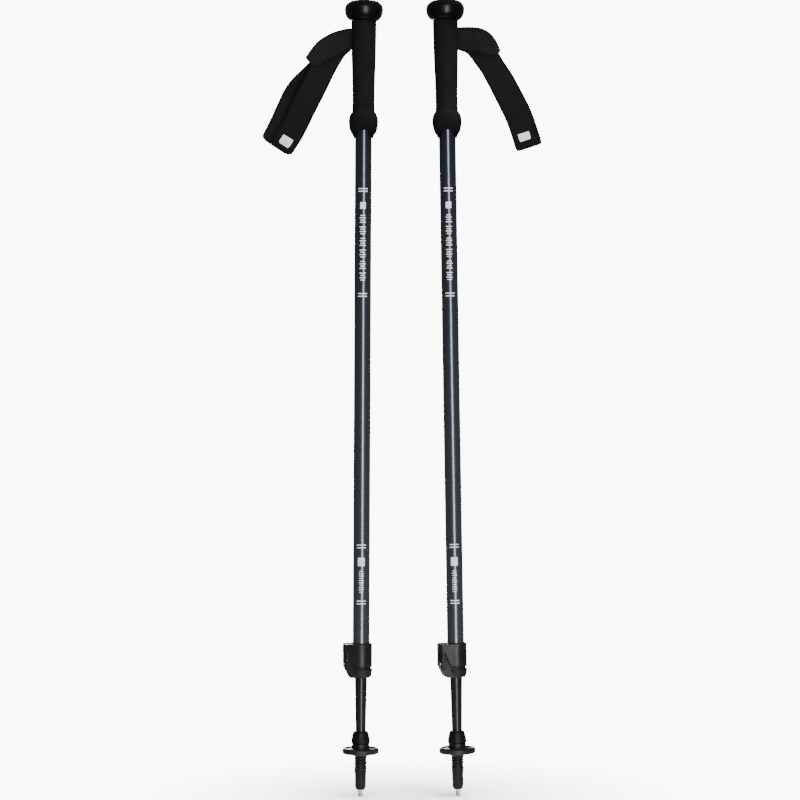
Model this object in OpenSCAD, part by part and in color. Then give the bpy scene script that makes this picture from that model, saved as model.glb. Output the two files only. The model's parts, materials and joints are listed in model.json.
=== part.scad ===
// A pair of two-section trekking poles, collapsed, standing side by side.
// Each pole is drawn upright with its tip at the origin, then leaned and placed.

/* [Pair] */
// Distance between the two tips on the ground
tip_gap = 104; // [90:1:160]
// Inward lean of each pole, in degrees
lean = 0.6; // [0:0.1:1]
// Turn of the right pole's lock about its tube, in degrees
right_lock_turn = 14; // [0:1:30]

/* [Tubes] */
// Outer diameter of the upper tube
upper_d = 18; // [18:0.1:18.2]
// Outer diameter of the lower tube
lower_d = 16; // [15.6:0.1:16]
// How far the lower tube slides out
travel = 530; // [300:10:530]

/* [Grip] */
// Widest diameter of the knob
knob_d = 41; // [36:1:44]
// Diameter of the foam under the knob
foam_top_d = 26.8; // [25:0.2:28]
// Diameter of the foam's waist
foam_waist_d = 23.6; // [22:0.2:25]
// Diameter of the bulb at the foam's lower end
bulb_d = 31.4; // [28:0.2:34]

/* [Strap] */
// Width of the strap's webbing
strap_w = 26.6; // [22:0.2:30]
// Thickness of the strap
strap_t = 2; // [1.6:0.1:2.6]

/* [Lock] */
// Diameter of the closed lever
lever_d = 23.6; // [23.2:0.1:24]
// Diameter of the lever's hub
hub_d = 9.2; // [9:0.1:9.6]

/* [Tip] */
// Diameter of the basket
basket_d = 38.6; // [34:1:50]
// Number of windows in the basket
basket_windows = 6; // [4:1:8]
// Diameter of the tip's straight land
land_d = 11.8; // [11.4:0.1:12]

/* [Hidden] */
$fn = 64;
left = -1;
right = 1;
far = 60;

// Heights above the tip
tip_bottom_z = 7.4;
land_z0 = 11.5;
land_z1 = 21.5;
thread_z0 = 31.5;
basket_z = 43;
collar_z0 = 56.6;
collar_z1 = 69.2;
cuff_z0 = 126.7;
cuff_z1 = 135.8;
lever_z0 = 137.9;
lever_z1 = 163.5;
foam_z0 = 699.7;
waist_z0 = 729;
bulb_z = 718.5;
tube_top_z = 783;
slot_z0 = 794.2;
slot_z1 = 818.2;
foam_z1 = 825.5;
knob_mid_z = 837.5;
knob_top_z = 846.7;
top_z = 850;

// Radii of the tubes and their bores
upper_r = upper_d / 2;
upper_bore_r = lower_d / 2 + 0.08;
lower_r = lower_d / 2;
lower_wall = 1.2;
slim_r0 = 5.35;
slim_r1 = 6.5;
plug_z = cuff_z1 + travel + 79.2;

// Lock: the lever turns on a pin beside the tube
pin = [-14.9, -3.4];
pin_r = 2.2;
hub_r = hub_d / 2;
lever_r = lever_d / 2;
sleeve_r = 10.2;
lever_bore_r = sleeve_r + 0.3;
hub_z0 = 153.6;
hub_gap = 0.35;
cam_z0 = 145;
screw_z = 141.2;
pin_angle = atan2(-pin[1], -pin[0]);
pin_reach = norm(pin);
curve_r0 = 5;
curve_r1 = 13;
curve_power = 2.2;
rim_gap = 0.7;

// Points of an ellipse arc about c with half-axes a and b, from angle a0 to a1
function arc(c, a, b, a0, a1, n) =
    [for (i = [0:n]) let (t = a0 + (a1 - a0) * i / n) [c[0] + a * cos(t), c[1] + b * sin(t)]];

// Height of the lever's lower edge at distance r from its pin
function lever_edge(r) = lever_z0 + (hub_z0 - lever_z0)
    * pow(1 - min(max((r - curve_r0) / (curve_r1 - curve_r0), 0), 1), curve_power);

module pole(side) {
    translate([side * tip_gap / 2, 0, 0]) rotate([0, -side * lean, 0]) children();
}

module lock(side) {
    pole(side) rotate([0, 0, side == right ? right_lock_turn : 0]) children();
}

// Ring between two radii
module ring(r1, r0, z0, z1) {
    translate([0, 0, z0]) difference() {
        cylinder(r = r1, h = z1 - z0);
        translate([0, 0, -1]) cylinder(r = r0, h = z1 - z0 + 2);
    }
}

// ---- Grip ----

module knob() {
    r0 = 11;
    a = knob_d / 2 - r0;
    low_b = 12.6;
    low_a = asin((knob_mid_z - foam_z1) / low_b);
    color("#18171a") difference() {
        rotate_extrude() polygon(concat(
            [[2.6, foam_z1]],
            arc([r0, knob_mid_z], a, low_b, -low_a, 0, 12),
            arc([r0, knob_mid_z], a, knob_top_z - knob_mid_z, 8, 90, 9),
            [[2.6, knob_top_z]]));
        translate([0, 0, knob_top_z - 5.2]) cylinder(r = 6.5, h = 6);
    }
}

module knob_cap() {
    cap_r = 6.4;
    base_z = knob_top_z - 2;
    color("#242327") rotate_extrude() polygon(concat(
        [[0, base_z], [cap_r, base_z]],
        arc([0, knob_top_z], cap_r, top_z - knob_top_z, 0, 90, 8)));
}

module knob_screw() {
    color("silver") {
        translate([0, 0, knob_top_z - 5.2]) cylinder(r = 4.4, h = 3);
        translate([0, 0, 800]) cylinder(r = 2.4, h = knob_top_z - 5.2 - 800);
    }
}

module strap_slot(extra) {
    translate([-far - 4.4, -2.1 - extra, slot_z0 - extra])
        cube([far, 4.2 + 2 * extra, slot_z1 - slot_z0 + 2 * extra]);
}

module grip_core(side) {
    color("#303034") difference() {
        union() {
            translate([0, 0, 765]) cylinder(r = upper_bore_r, h = tube_top_z - 765);
            translate([0, 0, tube_top_z]) cylinder(r = sleeve_r, h = foam_z1 - tube_top_z);
        }
        translate([0, 0, 798]) cylinder(r = 2.4, h = 30);
        rotate([0, 0, side == right ? 180 : 0]) {
            strap_slot(0);
            translate([-8.6, -3.2, slot_z0]) cube([4.2, 6.4, slot_z1 - slot_z0]);
            translate([-6.6, 0, slot_z0 - 3]) cylinder(r = 1.1, h = slot_z1 - slot_z0 + 6);
        }
    }
}

module strap_pin(side) {
    color("silver") rotate([0, 0, side == right ? 180 : 0])
        translate([-6.6, 0, slot_z0 - 3]) cylinder(r = 1.1, h = slot_z1 - slot_z0 + 6);
}

module strap_bobbin(side) {
    color("#3a3a3e") rotate([0, 0, side == right ? 180 : 0])
        translate([-6.6, 0, 0]) ring(1.8, 1.1, slot_z0 + 0.2, slot_z1 - 0.2);
}

module foam_grip(side) {
    top_r = foam_top_d / 2;
    waist_r = foam_waist_d / 2;
    bulb_r = bulb_d / 2;
    skirt_r = 10.4;
    arch_r = 9.2;
    color("#1b1917") difference() {
        union() {
            rotate_extrude() polygon(concat(
                [[5, foam_z1], [5, 705]],
                arc([9.5, bulb_z], bulb_r - 9.5, 15.3, -66, 0, 12),
                arc([8, bulb_z], bulb_r - 8, 12.05, 7, 61, 9),
                [[waist_r, waist_z0 + 1.6], [waist_r, waist_z0 + 14], [top_r - 0.35, 795],
                 [top_r, foam_z1 - 1], [top_r - 0.5, foam_z1]]));
            translate([0, 0, foam_z0]) cylinder(r = skirt_r, h = 8);
        }
        translate([0, 0, foam_z0 - 1]) cylinder(r = upper_r, h = tube_top_z - foam_z0 + 1);
        translate([0, 0, tube_top_z - 0.01]) cylinder(r = sleeve_r, h = far);
        translate([0, far, foam_z0 - 0.7]) rotate([90, 0, 0]) cylinder(r = arch_r, h = 2 * far);
        rotate([0, 0, side == right ? 180 : 0]) strap_slot(0.4);
    }
}

// ---- Strap: a flat band swept round a loop that hangs from the slot ----

strap_mid_z = (slot_z0 + slot_z1) / 2;
hinge_u = foam_top_d / 2 + 0.4 + strap_t;
// Route of each front layer's middle, outward and up, how far the layers part, and how far
// the back layer hangs outside the front one
left_route = [
    [hinge_u, strap_mid_z], [22.6, 802.8], [31, 796], [38.5, 783], [45, 770], [51.5, 756],
    [58, 743], [64.5, 730], [75.5, 708], [86, 691.5]
];
right_route = [
    [hinge_u, strap_mid_z], [23, 804.5], [33, 798.5], [42.5, 786], [50, 773], [57, 759.5],
    [64.4, 744], [71, 730.6], [77.5, 715], [84.5, 693]
];
strap_parting = [1.2, 1.8, 3, 4.5, 6.5, 8, 8.6, 8, 6.4, 4.2];
strap_shift = [0, 0, 0, 1, 3, 6, 9, 11, 12, 12];
strap_last = len(strap_parting) - 1;
fold_turns = 4;

function route(side) = side == left ? left_route : right_route;
function route_dir(i, side) =
    let (r = route(side), a = r[max(i - 1, 0)], b = r[min(i + 1, strap_last)])
    (b - a) / norm(b - a);
// Across the band: upright at the slot, square to the route further down
function route_across(i, side) =
    let (d = route_dir(i, side)) i == 0 ? [0, 1] : [-d[1], d[0]];
function half_width(i) = (i == 0 ? 23 : i == 1 ? 25 : strap_w) / 2;

// One ring of four corners: middle m, across w, half width h, thickness vector n
function corners(m, w, h, n) = [m - w * h - n, m + w * h - n, m + w * h + n, m - w * h + n];

function front_ring(i, side) =
    let (w2 = route_across(i, side), p = route(side)[i])
    corners([side * p[0], -strap_parting[i], p[1]], [side * w2[0], 0, w2[1]], half_width(i),
        [0, strap_t / 2, 0]);

function back_ring(i, side, shift) =
    let (w2 = route_across(i, side), p = route(side)[i] + w2 * strap_shift[i] * shift)
    corners([side * p[0], strap_parting[i], p[1]], [side * w2[0], 0, w2[1]], half_width(i),
        [0, -strap_t / 2, 0]);

// The rings round the bottom fold
function fold_ring(k, side, shift) =
    let (
        t = -90 + 180 * k / (fold_turns + 1),
        d = route_dir(strap_last, side),
        w2 = route_across(strap_last, side),
        g = strap_parting[strap_last],
        part = (1 + sin(t)) / 2,
        p = route(side)[strap_last] + w2 * strap_shift[strap_last] * shift * part
            + d * g * cos(t)
    )
    corners([side * p[0], g * sin(t), p[1]], [side * w2[0], 0, w2[1]], strap_w / 2,
        [-side * d[0] * cos(t), -sin(t), -d[1] * cos(t)] * strap_t / 2);

module strap_band(side, shift) {
    rings = concat(
        [for (i = [0:strap_last]) front_ring(i, side)],
        [for (k = [1:fold_turns]) fold_ring(k, side, shift)],
        [for (i = [strap_last:-1:0]) back_ring(i, side, shift)]);
    count = len(rings);
    points = [for (ring = rings) for (p = ring) p];
    quads = [for (i = [0:count - 2]) for (j = [0:3])
        [4 * i + j, 4 * i + (j + 1) % 4, 4 * (i + 1) + (j + 1) % 4, 4 * (i + 1) + j]];
    ends = [[3, 2, 1, 0], [for (j = [0:3]) 4 * (count - 1) + j]];
    faces = concat(quads, ends);
    polyhedron(points, side == left ? [for (f = faces) [for (k = [len(f) - 1:-1:0]) f[k]]] : faces);
}

module strap(side) {
    color("#161514") union() {
        strap_band(side, side == left ? 1 : 0.25);
        translate([side * hinge_u, 0, strap_mid_z - 11.5]) cylinder(r = 2.2, h = 23);
    }
}

// ---- Upper tube and lock ----

module upper_tube() {
    color("#27324a") difference() {
        ring(upper_r, upper_bore_r, lever_z0 - 0.7, tube_top_z);
        translate([-far, -3.3, 144.9]) cube([far, 6.6, 7.2]);
    }
}

// Outline of the lever: the tube's round, the hub's round, and the flat that joins them
module lever_outline(r, hub) {
    side_angle = pin_angle - acos((hub - r) / pin_reach);
    n = [cos(side_angle), sin(side_angle)];
    translate(pin) circle(r = hub);
    circle(r = r);
    polygon([pin, pin + hub * n, r * n, [0, 0]]);
}

// A wedge of the plane about the tube's axis
module sector(a0, a1) {
    n = 8;
    polygon(concat([[0, 0]],
        [for (i = [0:n]) let (t = a0 + (a1 - a0) * i / n) far * [cos(t), sin(t)]]));
}

// Everything under the lever's edge, lowered by drop and moved in by inset
module below_edge(drop, inset, floor_z) {
    n = 8;
    translate([pin[0], pin[1], 0]) rotate_extrude() polygon(concat(
        [[0, floor_z], [far, floor_z], [far, lever_z0 - drop]],
        [for (i = [n:-1:0]) let (r = curve_r0 + (curve_r1 - curve_r0) * i / n)
            [r, lever_edge(r + inset) - drop]],
        [[0, hub_z0 - drop]]));
}

module lock_lever() {
    cam_r = 3.9;
    cam_throw = 0.45;
    cam_at = pin - pin / pin_reach * cam_throw;
    corner = 2.6;
    hub_top_z = lever_z1 - 1.2;
    color("#34322f") difference() {
        union() {
            difference() {
                // cover and hub, with the cover's top and bottom edges rounded
                intersection() {
                    translate([0, 0, lever_z0]) linear_extrude(lever_z1 - lever_z0)
                        lever_outline(lever_r, hub_r);
                    rotate_extrude() polygon(concat(
                        [[lever_bore_r, lever_z0], [lever_r - 0.6, lever_z0],
                         [lever_r, lever_z0 + 0.6], [far, lever_z0 + 6], [far, hub_top_z],
                         [lever_r - 0.3, hub_top_z]],
                        arc([lever_r - corner, lever_z1 - corner], corner, corner, 34, 60, 3),
                        [[lever_bore_r, lever_z1 - 0.2]]));
                }
                below_edge(0, 0, 100);
                // open behind, up to the hub
                translate([0, 0, 100]) linear_extrude(80) difference() {
                    sector(pin_angle - 4, 176 + pin_angle);
                    translate(pin) circle(r = hub_r + 0.2);
                }
            }
            translate([cam_at[0], cam_at[1], cam_z0]) cylinder(r = cam_r, h = 10);
        }
        translate([pin[0], pin[1], 100]) cylinder(r = pin_r + 0.05, h = 80);
    }
}

module lock_body() {
    lobe_drop = 27;
    color("#2c2a28") difference() {
        union() {
            // sleeve on the tube and cuff round the lower tube
            translate([0, 0, cuff_z1 - 1]) cylinder(r = sleeve_r, h = lever_z1 + 0.7 - cuff_z1);
            rotate_extrude() polygon([
                [0, cuff_z0], [9.6, cuff_z0], [10.7, cuff_z0 + 1], [12.2, cuff_z1 - 0.8],
                [11.6, cuff_z1], [0, cuff_z1]]);
            // back shell
            translate([0, 0, cuff_z1 - 0.5]) linear_extrude(lever_z1 - cuff_z1) intersection() {
                circle(r = lever_r - 0.1);
                sector(24, 165);
            }
            // lobe with its raised rim
            intersection() {
                below_edge(rim_gap, 0.5, 100);
                translate([0, 0, cuff_z0]) linear_extrude(lobe_drop) intersection() {
                    lever_outline(lever_r - 1, hub_r - 0.8);
                    sector(150, 262);
                }
            }
            intersection() {
                difference() {
                    below_edge(rim_gap, 0.5, 100);
                    below_edge(rim_gap + 1.6, 0.9, 90);
                }
                translate([0, 0, cuff_z0]) linear_extrude(lobe_drop) intersection() {
                    lever_outline(lever_r, hub_r);
                    sector(150, 262);
                }
            }
            // rear of the lobe, up to the lever's top
            translate([0, 0, cuff_z0]) linear_extrude(lever_z1 - 0.6 - cuff_z0) polygon([
                [-19.4, -1], [-19.4, 4.4], [-17.8, 6.2], [-8, 9.6], [-4, 4], [-8, -1]]);
        }
        // the lever's hub and cam, the pin and the screw
        translate([pin[0], pin[1], cam_z0 - 0.4]) cylinder(r = hub_r + 0.1, h = 9.3);
        translate([pin[0], pin[1], hub_z0 - rim_gap]) cylinder(r = hub_r + hub_gap, h = 30);
        translate([pin[0], pin[1], 137]) cylinder(r = pin_r, h = 30);
        translate([-far - 17.2, pin[1], screw_z]) rotate([0, 90, 0]) cylinder(r = 2.5, h = far);
        translate([-far, pin[1], screw_z]) rotate([0, 90, 0]) cylinder(r = 1.25, h = far - 10.4);
        // room for the shoe
        translate([-13, -3.3, 144.9]) cube([13, 6.6, 7.2]);
        // slanted underside of the lobe
        translate([0, far, 0]) rotate([90, 0, 0]) linear_extrude(2 * far) polygon([
            [-40, 139], [-19, 139], [-13.2, 128.3], [-10.8, cuff_z0 - 0.1], [-10.8, 100], [-40, 100]]);
        // bores
        translate([0, 0, lever_z0 - 0.7]) cylinder(r = upper_r, h = 40);
        translate([0, 0, 120]) cylinder(r = upper_bore_r, h = 40);
    }
}

module lever_pin() {
    color("silver") difference() {
        translate([pin[0], pin[1], 137]) cylinder(r = pin_r, h = 25.2);
        translate([-far, pin[1], screw_z]) rotate([0, 90, 0]) cylinder(r = 1.25, h = 2 * far);
    }
}

module tension_screw() {
    color("silver") translate([-19.1, pin[1], screw_z]) rotate([0, 90, 0]) difference() {
        union() {
            cylinder(r = 2.3, h = 1.8);
            cylinder(r = 1.2, h = 8);
        }
        translate([-0.35, -1.7, -1]) cube([0.7, 3.4, 1.8]);
        translate([-1.7, -0.35, -1]) cube([3.4, 0.7, 1.8]);
    }
}

module clamp_shoe() {
    color("silver") difference() {
        intersection() {
            translate([-10.4, -3.2, 145]) cube([10.4, 6.4, 7]);
            translate([0, 0, 140]) cylinder(r = 10.2, h = 20);
        }
        translate([0, 0, 140]) cylinder(r = lower_r + 0.06, h = 20);
    }
}

// ---- Lower tube and tip ----

module lower_tube() {
    color("#1d1d1f") rotate_extrude() polygon([
        [slim_r0 - lower_wall, 30], [slim_r0, 30], [slim_r0, collar_z1], [slim_r1, cuff_z0],
        [lower_r, cuff_z1 + 0.5], [lower_r, plug_z], [lower_r - lower_wall, plug_z],
        [lower_r - lower_wall, cuff_z1 + 0.5], [slim_r1 - lower_wall, cuff_z0],
        [slim_r0 - lower_wall, collar_z1]]);
}

module guide_plug() {
    color("#44454a") {
        translate([0, 0, plug_z - 15]) cylinder(r = lower_r - lower_wall, h = 15);
        translate([0, 0, plug_z]) cylinder(r = lower_r, h = 4);
    }
}

module flex_tip() {
    land_r = land_d / 2;
    thread_root = 6.1;
    thread_crest = 6.75;
    pitch = 3.1;
    color("#232220") difference() {
        union() {
            rotate_extrude() polygon([
                [0, tip_bottom_z], [4.5, tip_bottom_z], [5.3, tip_bottom_z + 2.2],
                [land_r, land_z0], [land_r, land_z1], [6.6, 30.2], [thread_root, thread_z0],
                [thread_root, basket_z - 1], [6.4, basket_z], [6.4, collar_z0],
                [9.95, collar_z0], [9.95, 59.6], [8.9, 64.6], [7.7, collar_z1 - 0.8],
                [7.1, collar_z1], [0, collar_z1]]);
            for (i = [0:2]) translate([0, 0, thread_z0 + 1.2 + i * pitch]) rotate_extrude()
                polygon([[5, 0], [thread_root, 0], [thread_crest, 0.6], [thread_crest, 1.2],
                    [thread_root, 1.9], [5, 1.9]]);
        }
        translate([0, 0, 30]) cylinder(r = slim_r0, h = 60);
        translate([0, 0, tip_bottom_z - 1]) cylinder(r = 2.5, h = 15);
    }
}

module basket() {
    rim_r = basket_d / 2;
    color("#201f1e") difference() {
        union() {
            // hub, web and thick rim
            rotate_extrude() polygon([
                [6.5, basket_z], [7.2, basket_z], [9.6, basket_z + 3.4], [rim_r - 3, basket_z + 5],
                [rim_r - 3, basket_z + 2.6], [rim_r - 0.8, basket_z + 2.6],
                [rim_r, basket_z + 3.6], [rim_r, basket_z + 7], [rim_r - 1, basket_z + 8.4],
                [rim_r - 2.6, basket_z + 8.6], [rim_r - 4, basket_z + 7.2],
                [9.4, basket_z + 8.2], [9.2, basket_z + 13], [6.5, basket_z + 13]]);
        }
        for (i = [0:basket_windows - 1]) rotate([0, 0, 360 / basket_windows * (i + 0.5)])
            translate([12.7, 0, basket_z]) cylinder(r = 2.2, h = 20);
        for (a = [-22, 128]) rotate([0, 0, a])
            translate([rim_r + 0.6, 0, basket_z - 1]) cylinder(r = 2.6, h = 5.6);
    }
}

module tip_holder() {
    color("silver") difference() {
        union() {
            translate([0, 0, 4.2]) cylinder(r1 = 2.6, r2 = 3, h = tip_bottom_z - 4.2);
            translate([0, 0, tip_bottom_z]) cylinder(r = 2.5, h = 14);
        }
        translate([0, 0, 3]) cylinder(r = 1.7, h = 9);
    }
}

module carbide_tip() {
    color("dimgray") difference() {
        union() {
            translate([0, 0, 4.2]) cylinder(r = 1.7, h = 7.8);
            translate([0, 0, 0.6]) cylinder(r = 2.2, h = 3.6);
            cylinder(r1 = 1.8, r2 = 2.2, h = 0.6);
        }
        translate([0, 0, -2.6]) sphere(r = 3);
    }
}

pole(left) knob();  // left_knob
pole(left) knob_cap();  // left_knob_cap
pole(left) knob_screw();  // left_knob_screw
pole(left) grip_core(left);  // left_grip_core
pole(left) foam_grip(left);  // left_foam_grip
pole(left) strap(left);  // left_strap
pole(left) strap_pin(left);  // left_strap_pin
pole(left) strap_bobbin(left);  // left_strap_bobbin
pole(left) upper_tube();  // left_upper_tube
lock(left) lock_body();  // left_lock_body
lock(left) lock_lever();  // left_lock_lever
lock(left) lever_pin();  // left_lever_pin
lock(left) clamp_shoe();  // left_clamp_shoe
lock(left) tension_screw();  // left_tension_screw
pole(left) lower_tube();  // left_lower_tube
pole(left) guide_plug();  // left_guide_plug
pole(left) flex_tip();  // left_flex_tip
pole(left) basket();  // left_basket
pole(left) tip_holder();  // left_tip_holder
pole(left) carbide_tip();  // left_carbide_tip
pole(right) knob();  // right_knob
pole(right) knob_cap();  // right_knob_cap
pole(right) knob_screw();  // right_knob_screw
pole(right) grip_core(right);  // right_grip_core
pole(right) foam_grip(right);  // right_foam_grip
pole(right) strap(right);  // right_strap
pole(right) strap_pin(right);  // right_strap_pin
pole(right) strap_bobbin(right);  // right_strap_bobbin
lock(right) upper_tube();  // right_upper_tube
lock(right) lock_body();  // right_lock_body
lock(right) lock_lever();  // right_lock_lever
lock(right) lever_pin();  // right_lever_pin
lock(right) clamp_shoe();  // right_clamp_shoe
lock(right) tension_screw();  // right_tension_screw
pole(right) lower_tube();  // right_lower_tube
pole(right) guide_plug();  // right_guide_plug
pole(right) flex_tip();  // right_flex_tip
pole(right) basket();  // right_basket
pole(right) tip_holder();  // right_tip_holder
pole(right) carbide_tip();  // right_carbide_tip
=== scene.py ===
"""Trekking poles: the looks of a pair of two-section poles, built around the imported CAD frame."""
import math
import json

import bpy
from mathutils import Matrix, Vector


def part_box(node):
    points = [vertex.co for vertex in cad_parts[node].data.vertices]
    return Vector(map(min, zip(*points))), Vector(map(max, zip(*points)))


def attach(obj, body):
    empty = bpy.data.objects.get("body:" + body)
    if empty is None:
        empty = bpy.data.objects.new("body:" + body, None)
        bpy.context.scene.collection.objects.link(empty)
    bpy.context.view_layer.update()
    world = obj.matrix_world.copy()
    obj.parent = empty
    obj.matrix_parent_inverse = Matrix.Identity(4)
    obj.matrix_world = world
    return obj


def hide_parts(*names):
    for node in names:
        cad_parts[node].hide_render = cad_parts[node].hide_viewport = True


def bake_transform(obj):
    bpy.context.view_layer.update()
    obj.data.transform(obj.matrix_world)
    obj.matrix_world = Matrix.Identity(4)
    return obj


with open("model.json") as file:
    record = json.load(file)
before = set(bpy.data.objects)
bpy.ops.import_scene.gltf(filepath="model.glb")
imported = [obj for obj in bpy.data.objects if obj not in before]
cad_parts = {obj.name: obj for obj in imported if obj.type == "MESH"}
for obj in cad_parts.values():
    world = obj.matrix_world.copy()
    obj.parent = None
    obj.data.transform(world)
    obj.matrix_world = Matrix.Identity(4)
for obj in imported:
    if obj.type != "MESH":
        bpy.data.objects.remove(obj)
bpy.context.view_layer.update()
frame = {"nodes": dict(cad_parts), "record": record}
RECORD = frame["record"]
JOINTS = {j["name"]: j for j in RECORD["behaviour"]["joints"]}
MOUNTS = {m["name"]: m for m in RECORD["mounts"]}
NODES = frame["nodes"]
MM = 0.001
SIDES = {"left": -1, "right": 1}
ROOT = "uppers"

# Heights above the tip, along each pole, in millimetres
TIP_MOUNT_Z = 16.5
FOAM_Z0, FOAM_Z1 = 699.7, 825.5
BULB_Z = 718.5
KNOB_MID_Z, KNOB_TOP_Z, TOP_Z = 837.5, 846.7, 850.0
STRAP_Z = 806.2
UPPER_R, LOWER_R = 9.0, 8.0
KNOB_R = 20.5
TUBE_TOP_Z = 783


# ---- Placing and mesh helpers ----

def pole_matrix(side):
    """The pole's own frame: origin at the tip, Z along the pole."""
    joint = JOINTS[side + "_shaft_slide"]
    up = -Vector(joint["axis"]).normalized()
    across = Vector((up.z, 0, -up.x))
    start = Vector(MOUNTS[side + "_tip"]["pos_m"]) - up * TIP_MOUNT_Z * MM
    back = up.cross(across)
    m = Matrix((across, back, up)).transposed().to_4x4()
    m.translation = start
    return m


POLES = {side: pole_matrix(side) for side in SIDES}


def make_object(name, points, faces, side, smooth=True, uvs=None):
    """A mesh object from points in a pole's frame, in millimetres."""
    mesh = bpy.data.meshes.new(name)
    placed = [POLES[side] @ (Vector(p) * MM) for p in points]
    mesh.from_pydata(placed, [], faces)
    mesh.validate()
    if uvs:
        layer = mesh.uv_layers.new(name="UVMap")
        for loop in mesh.loops:
            layer.data[loop.index].uv = uvs[loop.vertex_index]
    mesh.polygons.foreach_set("use_smooth", [smooth] * len(mesh.polygons))
    mesh.update()
    obj = bpy.data.objects.new(name, mesh)
    bpy.context.scene.collection.objects.link(obj)
    return obj


def smooth_by_angle(obj, degrees=35):
    """Keeps edges sharper than the angle crisp."""
    obj.data.set_sharp_from_angle(angle=math.radians(degrees))


def lathe(name, profile, side, segments=72, shape=None):
    """Turns a closed profile of (radius, height) round the pole's axis."""
    points, faces = [], []
    count = len(profile)
    for s in range(segments):
        a = 2 * math.pi * s / segments
        for r, z in profile:
            p = (r * math.cos(a), r * math.sin(a), z)
            points.append(shape(p) if shape else p)
    for s in range(segments):
        t = (s + 1) % segments
        for i in range(count):
            j = (i + 1) % count
            faces.append((s * count + i, t * count + i, t * count + j, s * count + j))
    return make_object(name, points, faces, side)


def arc(centre, a, b, start, end, steps):
    """Points of an ellipse arc, angles in degrees."""
    points = []
    for i in range(steps + 1):
        t = math.radians(start + (end - start) * i / steps)
        points.append((centre[0] + a * math.cos(t), centre[1] + b * math.sin(t)))
    return points


def spline(points, t):
    """A smooth curve through the points, t from 0 to 1."""
    last = len(points) - 1
    x = min(max(t, 0), 1) * last
    i = min(int(x), last - 1)
    f = x - i
    p = [Vector(points[min(max(k, 0), last)]) for k in (i - 1, i, i + 1, i + 2)]
    return 0.5 * (2 * p[1] + (p[2] - p[0]) * f + (2 * p[0] - 5 * p[1] + 4 * p[2] - p[3]) * f ** 2
                  + (3 * p[1] - p[0] - 3 * p[2] + p[3]) * f ** 3)


# ---- Materials ----

class Nodes:
    """Small helper that wires a procedural material."""

    def __init__(self, name):
        self.material = bpy.data.materials.new(name)
        self.material.use_nodes = True
        self.tree = self.material.node_tree
        self.shader = self.tree.nodes["Principled BSDF"]

    def add(self, kind, **values):
        node = self.tree.nodes.new(kind)
        for key, value in values.items():
            if key in node.inputs:
                node.inputs[key].default_value = value
            else:
                setattr(node, key, value)
        return node

    def link(self, a, b):
        self.tree.links.new(a, b)

    def coords(self, kind="Object"):
        return self.add("ShaderNodeTexCoord").outputs[kind]

    def math(self, operation, a, b=None):
        node = self.add("ShaderNodeMath", operation=operation)
        for slot, value in enumerate((a, b)):
            if value is None:
                continue
            if isinstance(value, (int, float)):
                node.inputs[slot].default_value = value
            else:
                self.link(value, node.inputs[slot])
        return node.outputs[0]

    def noise(self, scale, detail=4, vector=None):
        node = self.add("ShaderNodeTexNoise", Scale=scale, Detail=detail)
        self.link(vector or self.coords(), node.inputs["Vector"])
        return node.outputs["Fac"]

    def ramp(self, fac, *stops):
        node = self.add("ShaderNodeValToRGB")
        ramp = node.color_ramp
        while len(ramp.elements) < len(stops):
            ramp.elements.new(0.5)
        for element, (place, colour) in zip(ramp.elements, stops):
            element.position = place
            element.color = (*colour, 1)
        self.link(fac, node.inputs["Fac"])
        return node.outputs["Color"]

    def span(self, value, a, b, c, d):
        node = self.add("ShaderNodeMapRange")
        for key, number in zip(("From Min", "From Max", "To Min", "To Max"), (a, b, c, d)):
            node.inputs[key].default_value = number
        self.link(value, node.inputs["Value"])
        return node.outputs["Result"]

    def bump(self, height, strength, distance, bevel=0.0):
        node = self.add("ShaderNodeBump", Strength=strength, Distance=distance)
        self.link(height, node.inputs["Height"])
        if bevel:
            soft = self.add("ShaderNodeBevel", samples=4, Radius=bevel)
            self.link(soft.outputs["Normal"], node.inputs["Normal"])
        self.link(node.outputs["Normal"], self.shader.inputs["Normal"])

    def set(self, **values):
        for key, value in values.items():
            socket = self.shader.inputs[key.replace("_", " ")]
            if hasattr(value, "is_linked"):
                self.link(value, socket)
            elif isinstance(value, tuple):
                socket.default_value = (*value, 1)
            else:
                socket.default_value = value


def plastic(name, dark, light, rough, grain=900, strength=0.25, bevel=0.0, shine=0.35):
    """Moulded plastic: a spark-eroded grain, cloudy colour and uneven gloss."""
    n = Nodes(name)
    cloud = n.noise(60, 3)
    n.set(Base_Color=n.ramp(cloud, (0.35, dark), (0.7, light)),
          Roughness=n.span(n.noise(140, 4), 0.3, 0.7, rough - 0.06, rough + 0.08))
    n.set(Specular_IOR_Level=shine)
    n.bump(n.noise(grain * 10, 3), strength, 0.00012, bevel)
    return n.material


def metal(name, colour, rough):
    """Turned steel with fine rings and faint smears."""
    n = Nodes(name)
    rings = n.add("ShaderNodeTexWave", Scale=900.0, Distortion=1.5)
    rings.bands_direction = "Z"
    n.link(n.coords(), rings.inputs["Vector"])
    smear = n.noise(300, 5)
    dim = tuple(c * 0.72 for c in colour)
    n.set(Base_Color=n.ramp(smear, (0.3, dim), (0.7, colour)), Metallic=1.0,
          Roughness=n.span(smear, 0.3, 0.7, rough - 0.07, rough + 0.1))
    n.bump(rings.outputs["Fac"], 0.15, 0.00005)
    return n.material


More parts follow.
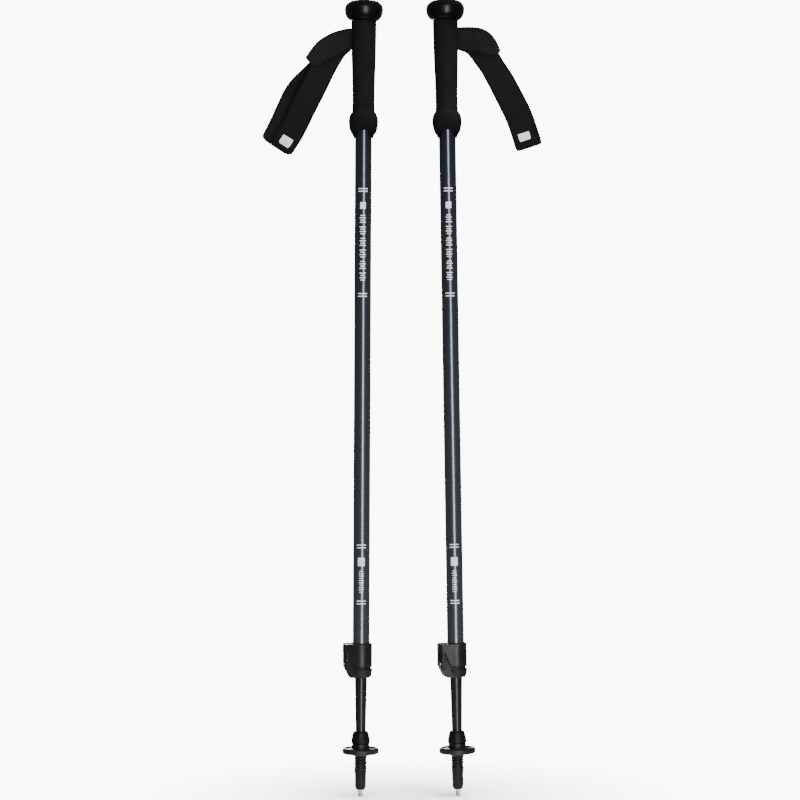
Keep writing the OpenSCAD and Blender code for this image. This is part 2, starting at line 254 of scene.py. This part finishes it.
def upper_paint():
    """Navy metallic paint that greys towards the lower end, with a fine flake."""
    n = Nodes("upper_paint")
    split = n.add("ShaderNodeSeparateXYZ")
    n.link(n.coords(), split.inputs[0])
    low, high = RANGE_UPPER
    fade = n.span(split.outputs["Z"], low, high, 0.0, 1.0)
    flake = n.noise(4200, 2)
    colour = n.ramp(fade, (0.0, (0.07, 0.08, 0.094)), (0.45, (0.045, 0.054, 0.068)),
                    (1.0, (0.007, 0.012, 0.026)))
    mix = n.add("ShaderNodeMix", data_type="RGBA", blend_type="MULTIPLY")
    mix.inputs["Factor"].default_value = 0.5
    n.link(colour, mix.inputs[6])
    n.link(n.ramp(flake, (0.35, (0.62, 0.64, 0.7)), (0.7, (1.25, 1.25, 1.25))), mix.inputs[7])
    n.set(Base_Color=mix.outputs[2], Metallic=0.7, Coat_Weight=0.9, Coat_Roughness=0.17,
          Roughness=n.span(n.noise(220, 4), 0.3, 0.7, 0.27, 0.34))
    n.bump(n.noise(900, 3), 0.05, 0.00004)
    return n.material


def lower_paint():
    """Black anodised aluminium with a drawn, lengthwise grain."""
    n = Nodes("lower_paint")
    stretch = n.add("ShaderNodeMapping")
    stretch.inputs["Scale"].default_value = (1, 1, 0.03)
    n.link(n.coords(), stretch.inputs["Vector"])
    grain = n.noise(2600, 4, stretch.outputs["Vector"])
    n.set(Base_Color=n.ramp(grain, (0.3, (0.010, 0.0098, 0.0095)), (0.7, (0.022, 0.0215, 0.021))),
          Metallic=0.6, Roughness=n.span(grain, 0.3, 0.7, 0.3, 0.42), Coat_Weight=0.15)
    n.bump(grain, 0.12, 0.00005)
    return n.material


def foam_skin():
    """EVA foam: open pores, a soft sheen and slightly lighter rubbed patches."""
    n = Nodes("foam_skin")
    cells = n.add("ShaderNodeTexVoronoi", Scale=1500.0)
    n.link(n.coords(), cells.inputs["Vector"])
    rubbed = n.noise(45, 5)
    n.set(Base_Color=n.ramp(rubbed, (0.3, (0.0042, 0.0034, 0.003)), (0.75, (0.0075, 0.0062, 0.0056))),
          Roughness=n.span(cells.outputs["Distance"], 0.0, 0.6, 0.72, 0.92),
          Specular_IOR_Level=0.16)
    height = n.math("ADD", cells.outputs["Distance"], n.noise(700, 4))
    n.bump(height, 0.5, 0.0002)
    return n.material


def webbing(name, pitch, relief, dark, light, edge):
    """Woven strap with painted shade in its weave: raised ribs and stitches are coloured lighter and
    the hollows darker. U runs across and V along, in metres; ribs show most near the edges.
    """
    n = Nodes(name)
    split = n.add("ShaderNodeSeparateXYZ")
    n.link(n.coords("UV"), split.inputs[0])
    u, v = split.outputs["X"], split.outputs["Y"]
    turn = 2 * math.pi / pitch
    rib = n.math("SINE", n.math("MULTIPLY", v, turn))
    warp = n.math("SINE", n.math("MULTIPLY", u, turn * 1.3))
    weave = n.math("MULTIPLY", rib, warp)
    border = n.span(n.math("ABSOLUTE", u), edge, edge + 0.0006, 0.0, 1.0)
    side_rib = n.math("MULTIPLY", rib, border)
    dash = n.math("GREATER_THAN", n.math("SINE", n.math("MULTIPLY", v, 2 * math.pi / 0.0034)), -0.3)
    line = n.math("LESS_THAN", n.math("ABSOLUTE", n.math("SUBTRACT", n.math("ABSOLUTE", u),
                                                         edge - 0.0008)), 0.00035)
    stitch = n.math("MULTIPLY", dash, line)
    height = n.math("ADD", n.math("ADD", n.math("MULTIPLY", rib, 0.6),
                                   n.math("ADD", n.math("MULTIPLY", weave, 0.35), side_rib)),
                    n.math("MULTIPLY", stitch, 1.2))
    # The colour follows the weave's relief, so ribs and stitches are lighter and the hollows darker
    # (painted shade in the hollows); the noise adds random mottle.
    relief_shade_and_mottle = n.span(n.math("ADD", n.math("MULTIPLY", height, 0.3),
                         n.math("MULTIPLY", n.noise(90, 4), 0.4)), -0.3, 0.75, 0.0, 1.0)
    n.set(Base_Color=n.ramp(relief_shade_and_mottle, (0.2, dark), (0.8, light)), Roughness=0.8,
          Specular_IOR_Level=0.18)
    n.bump(height, 0.9, relief)
    return n.material


def ink(name, colour):
    """Printed ink with slight unevenness and a satin surface."""
    n = Nodes(name)
    patchy = n.noise(1800, 4)
    worn = tuple(c * 0.86 for c in colour)
    n.set(Base_Color=n.ramp(patchy, (0.3, worn), (0.55, colour)),
          Roughness=n.span(patchy, 0.3, 0.7, 0.35, 0.5))
    n.bump(patchy, 0.1, 0.00003)
    return n.material


def dress(node_name, material):
    """Gives a carried-over CAD node its material."""
    obj = NODES[node_name]
    obj.data.materials.clear()
    obj.data.materials.append(material)


RANGE_UPPER = (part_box("left_upper_tube")[0][2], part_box("left_upper_tube")[1][2])
KNOB = plastic("knob_gloss", (0.0012, 0.0012, 0.0014), (0.002, 0.002, 0.0022), 0.3, 500, 0.05,
               shine=0.25)
# The lock body is given a darker plastic and the lever a lighter one: painted shade on the body and
# painted highlight on the lever.
LOCK = plastic("lock_plastic", (0.0030, 0.0028, 0.0025), (0.0055, 0.0052, 0.0047), 0.52, 700, 0.6,
               0.0004)
LEVER = plastic("lever_plastic", (0.0048, 0.0046, 0.0041), (0.007, 0.0068, 0.006), 0.4, 900, 0.2,
                0.0005)
TIP = plastic("tip_plastic", (0.0016, 0.0014, 0.0014), (0.0028, 0.0025, 0.0024), 0.5, 800, 0.3,
              shine=0.2)
BASKET = plastic("basket_plastic", (0.0025, 0.0023, 0.0021), (0.0045, 0.0042, 0.0039), 0.46, 700,
                 0.4, 0.0006)
CORE = plastic("core_plastic", (0.05, 0.05, 0.052), (0.08, 0.08, 0.082), 0.55)
STEEL = metal("steel", (0.62, 0.61, 0.6), 0.28)
CARBIDE = metal("carbide", (0.46, 0.45, 0.44), 0.42)
UPPER = upper_paint()
LOWER = lower_paint()
FOAM = foam_skin()
WEB = webbing("webbing_ribbed", 0.0028, 0.0007, (0.0018, 0.0016, 0.0016), (0.015, 0.0135, 0.013),
              0.0088)
PADDED = webbing("webbing_padded", 0.0012, 0.0003, (0.0035, 0.003, 0.0031), (0.0085, 0.0076, 0.0078),
                 0.0106)
WHITE = ink("white_ink", (0.78, 0.79, 0.8))
LABEL = ink("label_cloth", (0.72, 0.72, 0.71))


# ---- Grip ----

def knob(side):
    """Round knob with a soft crease round its crown and a separate domed cap."""
    low = 12.6
    low_angle = math.degrees(math.asin((KNOB_MID_Z - FOAM_Z1) / low))
    profile = [(2.6, FOAM_Z1)]
    profile += arc((11, KNOB_MID_Z), KNOB_R - 11, low, -low_angle, 0, 22)
    profile += arc((11, KNOB_MID_Z), KNOB_R - 11, KNOB_TOP_Z - KNOB_MID_Z, 5, 84, 18)
    profile += [(10.6, KNOB_TOP_Z), (9.4, KNOB_TOP_Z - 0.15), (8.6, KNOB_TOP_Z - 0.55),
                (7.4, KNOB_TOP_Z - 0.6), (6.6, KNOB_TOP_Z - 0.5), (6.5, KNOB_TOP_Z - 0.8),
                (6.5, KNOB_TOP_Z - 5.2), (2.6, KNOB_TOP_Z - 5.2)]
    body = lathe(side + "_knob_shell", profile, side, 96)
    smooth_by_angle(body, 40)
    cap_profile = [(0.01, KNOB_TOP_Z - 2), (6.3, KNOB_TOP_Z - 2)]
    cap_profile += arc((0.01, KNOB_TOP_Z - 0.2), 6.3, TOP_Z - KNOB_TOP_Z + 0.2, 4, 90, 14)
    cap = lathe(side + "_knob_dome", cap_profile, side, 64)
    smooth_by_angle(cap, 40)
    for obj, node in ((body, "_knob"), (cap, "_knob_cap")):
        obj.data.materials.append(KNOB)
        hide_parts(side + node)
        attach(obj, ROOT)


def foam_grip(side):
    """Foam sleeve: tapered waist, faint ridge, bulb, and a bottom edge arched front and back."""
    outer = [(UPPER_R, FOAM_Z0), (10.1, FOAM_Z0), (10.5, FOAM_Z0 + 0.5), (10.8, FOAM_Z0 + 3)]
    outer += arc((9.5, BULB_Z), 6.2, 15.3, -68, 0, 20)
    outer += arc((8, BULB_Z), 7.7, 12.05, 5, 56, 14)
    outer += [(11.95, 729.2), (11.85, 730.2), (12.1, 731.0), (12.05, 731.8), (11.8, 732.6)]
    outer += [tuple(spline([(11.8, 733), (11.75, 748), (12.3, 768), (12.95, 788), (13.2, 806),
                            (13.4, 823)], i / 16)) for i in range(17)]
    outer += [(13.35, 824.6), (12.9, FOAM_Z1 - 0.1), (10.2, FOAM_Z1 - 0.1), (10.2, TUBE_TOP_Z),
              (UPPER_R, TUBE_TOP_Z)]
    arch_r = 9.4
    arch_z = FOAM_Z0 - 0.9
    blend = 26.0

    def arch(p):
        x, y, z = p
        rise = math.sqrt(max(arch_r ** 2 - x ** 2, 0))
        cut = arch_z + rise
        if z < cut + blend:
            z = cut + (z - arch_z) * blend / (rise + blend)
        return (x, y, max(z, FOAM_Z0))

    obj = lathe(side + "_foam_sleeve", outer, side, 96, arch)
    smooth_by_angle(obj, 50)
    obj.data.materials.append(FOAM)
    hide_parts(side + "_foam_grip")
    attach(obj, ROOT)


# ---- Wrist straps ----

HINGE_U = 15.8
ROUTES = {
    "left": [(5, STRAP_Z), (HINGE_U, STRAP_Z), (22.6, 802.8), (31, 796), (38.5, 783), (45, 770),
             (51.5, 756), (58, 743), (64.5, 730), (75.5, 708), (86, 691.5)],
    "right": [(5, STRAP_Z), (HINGE_U, STRAP_Z), (23, 804.5), (33, 798.5), (42.5, 786), (50, 773),
              (57, 759.5), (64.4, 744), (71, 730.6), (77.5, 715), (84.5, 693)],
}
PARTING = [1.05, 1.1, 1.8, 3, 4.5, 6.5, 8, 8.6, 8, 6.4, 4.2]
SHIFT = [0, 0, 0, 0, 1, 6, 12, 15, 15, 14, 12]
SHIFT_SHARE = {"left": 1.0, "right": 0.25}
STRAP_HALF = [11, 11.3, 12.4, 13.2, 13.3, 13.3, 13.3, 13.3, 13.3, 13.3, 13.3]
STRAP_T = 1.9


def pick(values, t):
    return spline([(v, 0) for v in values], t)[0]


def route_at(side, t):
    """Middle of the band in (out, up) and its direction there."""
    p = spline(ROUTES[side], t)
    d = spline(ROUTES[side], min(t + 0.02, 1)) - spline(ROUTES[side], max(t - 0.02, 0))
    return p, d.normalized()


def layer(side, t, face):
    """Centre, across and outward vectors of the front (-1) or back (1) layer at t."""
    sign = SIDES[side]
    p, d = route_at(side, t)
    w = Vector((-d.y, d.x))
    if face > 0:
        p = p + w * pick(SHIFT, t) * SHIFT_SHARE[side]
    centre = Vector((sign * p.x, face * pick(PARTING, t), p.y))
    return centre, Vector((sign * w.x, 0, w.y)), Vector((0, face, 0))


def fold(side, k, steps):
    """The same three vectors round the bottom fold."""
    sign = SIDES[side]
    t = math.radians(-90 + 180 * k / (steps + 1))
    p, d = route_at(side, 1)
    w = Vector((-d.y, d.x))
    gap = PARTING[-1]
    p = p + w * SHIFT[-1] * SHIFT_SHARE[side] * (1 + math.sin(t)) / 2 + d * gap * math.cos(t)
    centre = Vector((sign * p.x, gap * math.sin(t), p.y))
    out = Vector((sign * d.x * math.cos(t), math.sin(t), d.y * math.cos(t)))
    return centre, Vector((sign * w.x, 0, w.y)), out


def band(name, side, rings, material, across_steps=14):
    """A flat woven band through rings of (centre, across, outward, half width, thickness)."""
    points, uvs, faces = [], [], []
    length = 0.0
    previous = None
    columns = [-1 + 2 * i / across_steps for i in range(across_steps + 1)]
    loop = len(columns) * 2
    for centre, w, out, half, thick in rings:
        if previous is not None:
            length += (centre - previous).length
        previous = centre
        for face in (1, -1):
            for c in (columns if face > 0 else columns[::-1]):
                edge = 1 - 0.55 * max(abs(c) - 0.86, 0) / 0.14
                crown = 0.12 * (1 - c * c)
                offset = face * thick / 2 * edge + (crown if face > 0 else 0)
                points.append(centre + w * half * c + out * offset)
                uvs.append((half * c * MM, length * MM))
    for r in range(len(rings) - 1):
        for i in range(loop):
            j = (i + 1) % loop
            faces.append((r * loop + i, r * loop + j, (r + 1) * loop + j, (r + 1) * loop + i))
    faces.append(tuple(range(loop))[::-1])
    faces.append(tuple((len(rings) - 1) * loop + i for i in range(loop)))
    if SIDES[side] > 0:
        faces = [f[::-1] for f in faces]
    obj = make_object(name, points, faces, side, uvs=uvs)
    smooth_by_angle(obj, 60)
    obj.data.materials.append(material)
    return obj


def strap_loop(side):
    steps, turns = 90, 12
    rings = []
    for i in range(steps + 1):
        t = i / steps
        ripple = 0.25 * math.sin(t * 21 + SIDES[side])
        centre, w, out = layer(side, t, -1)
        rings.append((centre + out * ripple * t, w, out, pick(STRAP_HALF, t), STRAP_T))
    for k in range(1, turns + 1):
        centre, w, out = fold(side, k, turns)
        rings.append((centre, w, out, STRAP_HALF[-1], STRAP_T))
    for i in range(steps, -1, -1):
        t = i / steps
        centre, w, out = layer(side, t, 1)
        rings.append((centre, w, out, pick(STRAP_HALF, t), STRAP_T * 0.8))
    obj = band(side + "_strap_loop", side, rings, PADDED)
    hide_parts(side + "_strap")
    return obj


TONGUES = {
    "left": {"path": [(6, STRAP_Z), (14, 806), (24, 803), (33, 798.5), (43, 792.5), (56, 781)],
             "half": [11, 11.3, 12.2, 12.6, 11.6, 7.8], "lift": [0.2, 1.2, 3.4, 4.6, 5.6, 6.0]},
    "right": {"path": [(6, STRAP_Z), (14, 806), (22, 804.5), (36, 801.8), (46, 796.5), (55, 790)],
              "half": [11, 12, 13.6, 14, 10.5, 4.2], "lift": [0.2, 1.2, 3.4, 4.6, 5.6, 6.4]},
}


def strap_tongue(side):
    """The ribbed end of the webbing, over the top of the padded loop and folded under."""
    facts = TONGUES[side]
    sign = SIDES[side]
    steps, turns, tuck = 30, 8, 6
    thick, gap, front = 1.5, 0.85, 1.2
    rings = []

    def at(t):
        p = spline(facts["path"], t)
        d = (spline(facts["path"], min(t + 0.03, 1)) - spline(facts["path"], max(t - 0.03, 0)))
        d.normalize()
        return p, d, Vector((-d.y, d.x))

    for i in range(steps + 1):
        t = i / steps
        p, d, w = at(t)
        centre = Vector((sign * p.x, -pick(facts["lift"], t) - front, p.y))
        rings.append((centre, Vector((sign * w.x, 0, w.y)), Vector((0, -1, 0)),
                      pick(facts["half"], t), thick))
    p, d, w = at(1)
    across = Vector((sign * w.x, 0, w.y))
    top_y = -facts["lift"][-1] - front
    for k in range(1, turns + 1):
        a = math.radians(-90 + 180 * k / turns)
        q = p + d * gap * math.cos(a)
        centre = Vector((sign * q.x, top_y + gap + gap * math.sin(a), q.y))
        out = Vector((sign * d.x * math.cos(a), math.sin(a), d.y * math.cos(a)))
        rings.append((centre, across, out, facts["half"][-1], thick))
    for k in range(1, tuck + 1):
        q = p - d * 2.0 * k
        centre = Vector((sign * q.x, top_y + 2 * gap, q.y))
        rings.append((centre, across, Vector((0, 1, 0)), facts["half"][-1] - 0.2 * k, thick))
    return band(side + "_strap_tongue", side, rings, WEB)


def strap_label(side):
    """A plain light woven label near the bottom of the front layer."""
    half_w, half_l, corner = 6.2, 6.0, 1.8
    middle = 0.955
    centre, w, out = layer(side, middle, -1)
    _, d = route_at(side, middle)
    along = Vector((SIDES[side] * d.x, 0, d.y))
    place = centre - w * 0.5
    outline = []
    for cx, cy, start in ((1, 1, 0), (-1, 1, 90), (-1, -1, 180), (1, -1, 270)):
        for k in range(6):
            a = math.radians(start + 18 * k)
            outline.append((cx * (half_w - corner) + corner * math.cos(a),
                            cy * (half_l - corner) + corner * math.sin(a)))
    points, faces = [], []
    levels = ((0.4, 1.0), (1.35, 1.0), (1.5, 0.95), (1.5, 0.84), (1.4, 0.8), (1.5, 0.76))
    for lift, scale in levels:
        points += [place + w * a * scale + along * b * scale + out * lift for a, b in outline]
    n = len(outline)
    for r in range(len(levels) - 1):
        for i in range(n):
            j = (i + 1) % n
            faces.append((r * n + i, r * n + j, (r + 1) * n + j, (r + 1) * n + i))
    faces.append(tuple(range(n))[::-1])
    faces.append(tuple((len(levels) - 1) * n + i for i in range(n)))
    obj = make_object(side + "_strap_label", points, faces, side)
    smooth_by_angle(obj, 40)
    obj.data.materials.append(LABEL)
    return obj


def wrist_strap(side):
    """The padded loop and the ribbed tongue, and the label on the loop, attached to the wrist strap's
    body.
    """
    for obj in (strap_loop(side), strap_tongue(side)):
        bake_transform(obj)
    label = strap_label(side)
    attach(label, side + "_wrist_strap")


# ---- Printed marks ----

def wrapped_patch(radius, z0, z1, half_width):
    """Points and faces of a thin printed patch wrapped on the front of a tube."""
    steps = max(6, int(half_width * 2))
    reach = math.degrees(half_width / radius)
    points, faces = [], []
    for z in (z0, z1):
        for r in (radius + 0.03, radius - 0.05):
            for i in range(steps + 1):
                a = math.radians(-90 - reach + 2 * reach * i / steps)
                points.append((r * math.cos(a), r * math.sin(a), z))
    n = steps + 1
    rows = (0, 1, 3, 2)
    for k in range(4):
        a, b = rows[k] * n, rows[(k + 1) % 4] * n
        for i in range(steps):
            faces.append((a + i, a + i + 1, b + i + 1, b + i))
    faces.append((0, n, 3 * n, 2 * n))
    faces.append((n - 1, 3 * n - 1, 4 * n - 1, 2 * n - 1)[::-1])
    return points, faces


def print_marks(name, side, radius, patches, body, material):
    """Several wrapped patches, each (bottom, top, half width), as one printed piece."""
    points, faces = [], []
    for z0, z1, half in patches:
        p, f = wrapped_patch(radius, z0, z1, half)
        faces += [tuple(i + len(points) for i in face) for face in f]
        points += p
    obj = make_object(name, points, faces, side)
    smooth_by_angle(obj, 30)
    obj.data.materials.append(material)
    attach(obj, body)


def upper_marks(side):
    """Paired cross lines and plain ladders of blocks, with no lettering."""
    bar, gap, half = 1.1, 2.9, 5.0
    patches = []
    for z in (643.0, 531.5, 264.5, 205.0):
        patches += [(z, z + bar, half), (z + gap, z + gap + bar, half)]
    patches.append((625.0, 632.0, 3.0))
    for k in range(30):
        z = 618.5 - 2.45 * k
        if k % 5 != 4:
            patches.append((z - 1.05, z, 3.3 if k % 2 else 2.5))
    patches.append((245.5, 254.5, 3.7))
    for k in range(10):
        z = 240.5 - 2.45 * k
        patches.append((z - 0.95, z, 2.6 if k % 3 else 2.0))
    print_marks(side + "_upper_print", side, UPPER_R, patches, ROOT, WHITE)


def lower_marks(side):
    """Height scale of plain rings on the part of the lower tube that slides out."""
    patches = []
    for k in range(9):
        z = 230.0 + 50.0 * k
        patches.append((z, z + 1.0, 8.0))
        patches += [(z + 10 * q, z + 10 * q + 0.6, 3.5) for q in range(1, 5)]
    print_marks(side + "_lower_scale", side, LOWER_R, patches, side + "_lower", WHITE)


# ---- Tip ----

def flex_tip(side):
    """Cone collar, threaded neck and straight ferrule of the tip, turned as one."""
    profile = [(2.5, 7.4), (4.3, 7.4), (4.9, 8.0), (5.4, 9.6), (5.9, 11.5), (5.9, 21.5),
               (6.2, 25.5), (6.55, 29.6), (6.6, 30.4), (6.1, 31.4), (6.1, 42.0), (6.4, 43.0),
               (6.4, 56.6), (9.6, 56.6), (9.95, 57.0), (9.95, 59.2), (9.7, 60.8), (8.95, 64.4),
               (8.3, 66.9), (7.75, 68.4), (7.3, 69.1), (6.9, 69.2), (5.37, 69.2), (5.37, 30),
               (2.5, 21.4)]
    obj = lathe(side + "_tip_body", profile, side, 72)
    smooth_by_angle(obj, 28)
    obj.data.materials.append(TIP)
    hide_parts(side + "_flex_tip")
    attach(obj, side + "_lower")


def tip_thread(side):
    """Coarse helical thread that the basket screws on to."""
    pitch, turns, steps = 3.1, 3.2, 48
    root, crest = 6.0, 6.75
    section = ((root, -0.95), (crest, -0.35), (crest, 0.35), (root, 0.95))
    points, faces = [], []
    total = int(turns * steps)
    for s in range(total + 1):
        a = 2 * math.pi * s / steps
        fade = min(1.0, s / 8, (total - s) / 8)
        z = 32.6 + pitch * s / steps
        for r, dz in section:
            radius = root + (r - root) * fade
            points.append((radius * math.cos(a), radius * math.sin(a), z + dz * max(fade, 0.15)))
    for s in range(total):
        for i in range(4):
            j = (i + 1) % 4
            faces.append((s * 4 + i, (s + 1) * 4 + i, (s + 1) * 4 + j, s * 4 + j))
    faces.append((0, 1, 2, 3))
    faces.append(tuple(total * 4 + i for i in (3, 2, 1, 0)))
    obj = make_object(side + "_tip_thread", points, faces, side)
    smooth_by_angle(obj, 30)
    obj.data.materials.append(TIP)
    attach(obj, side + "_lower")


# ---- Put together ----

CARRIED = {
    "knob_screw": STEEL, "grip_core": CORE, "strap_pin": STEEL, "strap_bobbin": CORE,
    "upper_tube": UPPER, "lock_body": LOCK, "lock_lever": LEVER, "lever_pin": STEEL,
    "clamp_shoe": STEEL, "tension_screw": STEEL, "lower_tube": LOWER, "guide_plug": CORE,
    "basket": BASKET, "tip_holder": STEEL, "carbide_tip": CARBIDE,
}

for pole in SIDES:
    for part, finish in CARRIED.items():
        dress(f"{pole}_{part}", finish)
    knob(pole)
    foam_grip(pole)
    wrist_strap(pole)
    upper_marks(pole)
    lower_marks(pole)
    flex_tip(pole)
    tip_thread(pole)


# ---- Floor, light and camera ----

def floor():
    """A pale floor that fades out into the surround."""
    size = 3.0
    mesh = bpy.data.meshes.new("floor")
    corners = [(-size, -size, 0), (size, -size, 0), (size, size, 0), (-size, size, 0)]
    mesh.from_pydata(corners, [], [(0, 1, 2, 3)])
    obj = bpy.data.objects.new("floor", mesh)
    bpy.context.scene.collection.objects.link(obj)
    n = Nodes("floor")
    n.set(Base_Color=(0.93, 0.93, 0.93), Roughness=0.9, Specular_IOR_Level=0.1)
    length = n.add("ShaderNodeVectorMath", operation="LENGTH")
    n.link(n.coords(), length.inputs[0])
    n.set(Alpha=n.span(length.outputs["Value"], 0.05, 0.3, 0.9, 0.0))
    obj.data.materials.append(n.material)


def area_light(name, place, target, size, energy, mirrored=True):
    data = bpy.data.lights.new(name, "AREA")
    data.shape = "RECTANGLE"
    data.size, data.size_y = size
    data.energy = energy
    obj = bpy.data.objects.new(name, data)
    obj.location = place
    aim = Vector(target) - Vector(place)
    obj.rotation_euler = aim.to_track_quat("-Z", "Y").to_euler()
    obj.visible_glossy = mirrored
    bpy.context.scene.collection.objects.link(obj)


def surround():
    """White to look at, dimmer as a light, so that dark gloss keeps dark edges."""
    world = bpy.data.worlds.new("surround")
    bpy.context.scene.world = world
    world.use_nodes = True
    tree = world.node_tree
    background = tree.nodes["Background"]
    path = tree.nodes.new("ShaderNodeLightPath")
    pick_one = tree.nodes.new("ShaderNodeMix")
    pick_one.inputs[2].default_value = 0.16
    pick_one.inputs[3].default_value = 10.0
    tree.links.new(path.outputs["Is Camera Ray"], pick_one.inputs[0])
    tree.links.new(pick_one.outputs[0], background.inputs["Strength"])
    background.inputs["Color"].default_value = (1, 1, 1, 1)


def camera():
    """Level with the middle of the poles, far enough back for a long-lens look."""
    width, distance, roll = 0.852, 2.75, math.radians(0.34)
    place = Vector((-0.0073, -distance, 0.4217))
    data = bpy.data.cameras.new("camera")
    data.angle = 2 * math.atan(width / 2 / distance)
    obj = bpy.data.objects.new("camera", data)
    up = Vector((math.sin(roll), 0, math.cos(roll)))
    back = Vector((0, -1, 0))
    right = up.cross(back)
    m = Matrix((right, up, back)).transposed().to_4x4()
    m.translation = place
    obj.matrix_world = m
    bpy.context.scene.collection.objects.link(obj)
    bpy.context.scene.camera = obj


floor()
surround()
area_light("key", (0.42, -2.2, 0.55), (0, 0, 0.45), (0.42, 2.4), 62)
area_light("fill", (-1.9, -1.3, 1.3), (0, 0, 0.4), (1.0, 1.8), 10, mirrored=False)
area_light("top", (0.5, -0.3, 2.4), (0, 0, 0.0), (1.2, 1.2), 130, mirrored=False)
area_light("back", (-0.35, 2.2, 0.7), (0, 0, 0.45), (0.5, 2.2), 60)
camera()
